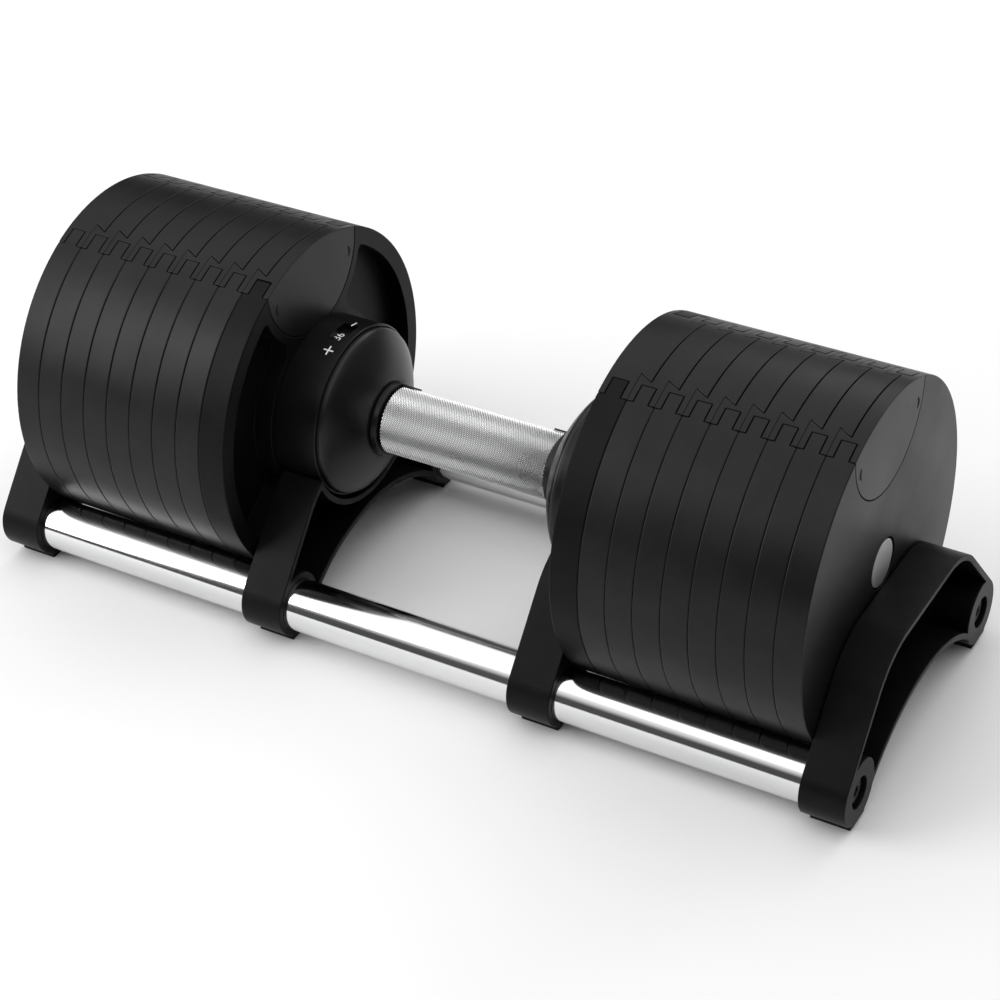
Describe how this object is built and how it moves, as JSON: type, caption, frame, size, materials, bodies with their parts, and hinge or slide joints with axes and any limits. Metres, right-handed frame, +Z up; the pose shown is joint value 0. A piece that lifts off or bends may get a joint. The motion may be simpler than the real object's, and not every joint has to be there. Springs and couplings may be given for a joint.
{
  "type": "adjustable dumbbell",
  "caption": "Adjustable dumbbell with stacked round plates on a twist handle, resting in a four-foot cradle with two chrome tubes.",
  "frame": {"origin": "on the floor under the middle of the cradle", "axes": "+X along the handle towards the end whose plates' tongues point outward, +Y away from the user, +Z up"},
  "size_m": [0.456, 0.1722, 0.1725],
  "materials": {
    "plate_steel": "black powder coat, fine grain",
    "insert_plastic": "fine textured black",
    "disc_plastic": "fine textured black",
    "housing_plastic": "satin black",
    "dial_plastic": "satin gloss black",
    "number_plastic": "black with pale numbers",
    "grip_steel": "knurled, plated",
    "collar_plastic": "black",
    "sleeve_steel": "machined",
    "bar_steel": "ground bright",
    "bush_bronze": "sintered bronze",
    "screw_steel": "blackened",
    "lock_steel": "hardened",
    "spring_steel": "drawn wire",
    "cradle_plastic": "fine textured black",
    "tube_chrome": "mirror",
    "foot_rubber": "matt"
  },
  "bodies": {
    "cradle": {"inner_support_right": "cradle_plastic", "inner_support_left": "cradle_plastic", "end_support_right": "cradle_plastic", "end_support_left": "cradle_plastic", "tube_front": "tube_chrome", "tube_rear": "tube_chrome", "tube_screws": "screw_steel", "rubber_feet": "foot_rubber"},
    "dumbbell": {"plate_right_1": "plate_steel", "insert_right_1": "insert_plastic", "plate_left_1": "plate_steel", "insert_left_1": "insert_plastic", "plate_right_2": "plate_steel", "insert_right_2": "insert_plastic", "plate_left_2": "plate_steel", "insert_left_2": "insert_plastic", "plate_right_3": "plate_steel", "insert_right_3": "insert_plastic", "plate_left_3": "plate_steel", "insert_left_3": "insert_plastic", "plate_right_4": "plate_steel", "insert_right_4": "insert_plastic", "plate_left_4": "plate_steel", "insert_left_4": "insert_plastic", "plate_right_5": "plate_steel", "insert_right_5": "insert_plastic", "plate_left_5": "plate_steel", "insert_left_5": "insert_plastic", "plate_right_6": "plate_steel", "insert_right_6": "insert_plastic", "plate_left_6": "plate_steel", "insert_left_6": "insert_plastic", "plate_right_7": "plate_steel", "insert_right_7": "insert_plastic", "plate_left_7": "plate_steel", "insert_left_7": "insert_plastic", "plate_right_8": "plate_steel", "insert_right_8": "insert_plastic", "plate_left_8": "plate_steel", "insert_left_8": "insert_plastic", "inner_disc_right": "disc_plastic", "inner_disc_left": "disc_plastic", "inner_insert_right": "insert_plastic", "inner_insert_left": "insert_plastic", "hub_housing_right": "housing_plastic", "hub_housing_left": "housing_plastic", "hub_bushes": "bush_bronze", "hub_screws": "screw_steel", "lock_springs": "spring_steel"},
    "grip": {"dial_right": "dial_plastic", "dial_left": "dial_plastic", "number_ring_right": "number_plastic", "number_ring_left": "number_plastic", "grip_tube": "grip_steel", "grip_collar_right": "collar_plastic", "grip_collar_left": "collar_plastic", "drive_sleeve": "sleeve_steel"},
    "bar_right": {"selector_bar_right": "bar_steel"},
    "bar_left": {"selector_bar_left": "bar_steel"},
    "lock": {"lock_pins": "lock_steel"}
  },
  "joints": [
    {"name": "lift", "type": "slide", "parent": "cradle", "child": "dumbbell", "axis": [0, 0, 1], "range_m": [0, 0.22]},
    {"name": "grip_turn", "type": "hinge", "parent": "dumbbell", "child": "grip", "pos_m": [0, 0, 0.0875], "axis": [1, 0, 0], "range_deg": [0, 320]},
    {"name": "bar_right_slide", "type": "slide", "parent": "dumbbell", "child": "bar_right", "axis": [1, 0, 0], "range_m": [-0.1065, 0.0005]},
    {"name": "bar_left_slide", "type": "slide", "parent": "dumbbell", "child": "bar_left", "axis": [1, 0, 0], "range_m": [-0.0005, 0.1065]},
    {"name": "lock_slide", "type": "slide", "parent": "dumbbell", "child": "lock", "axis": [0, 0, 1], "range_m": [-0.0031, 0.0001]}
  ],
  "couplings": [
    {"joint": "bar_right_slide", "follows": "grip_turn", "m_per_rad": -0.018979},
    {"joint": "bar_left_slide", "follows": "grip_turn", "m_per_rad": 0.018979},
    {"joint": "lock_slide", "follows": "lift", "ratio": -0.013636}
  ]
}
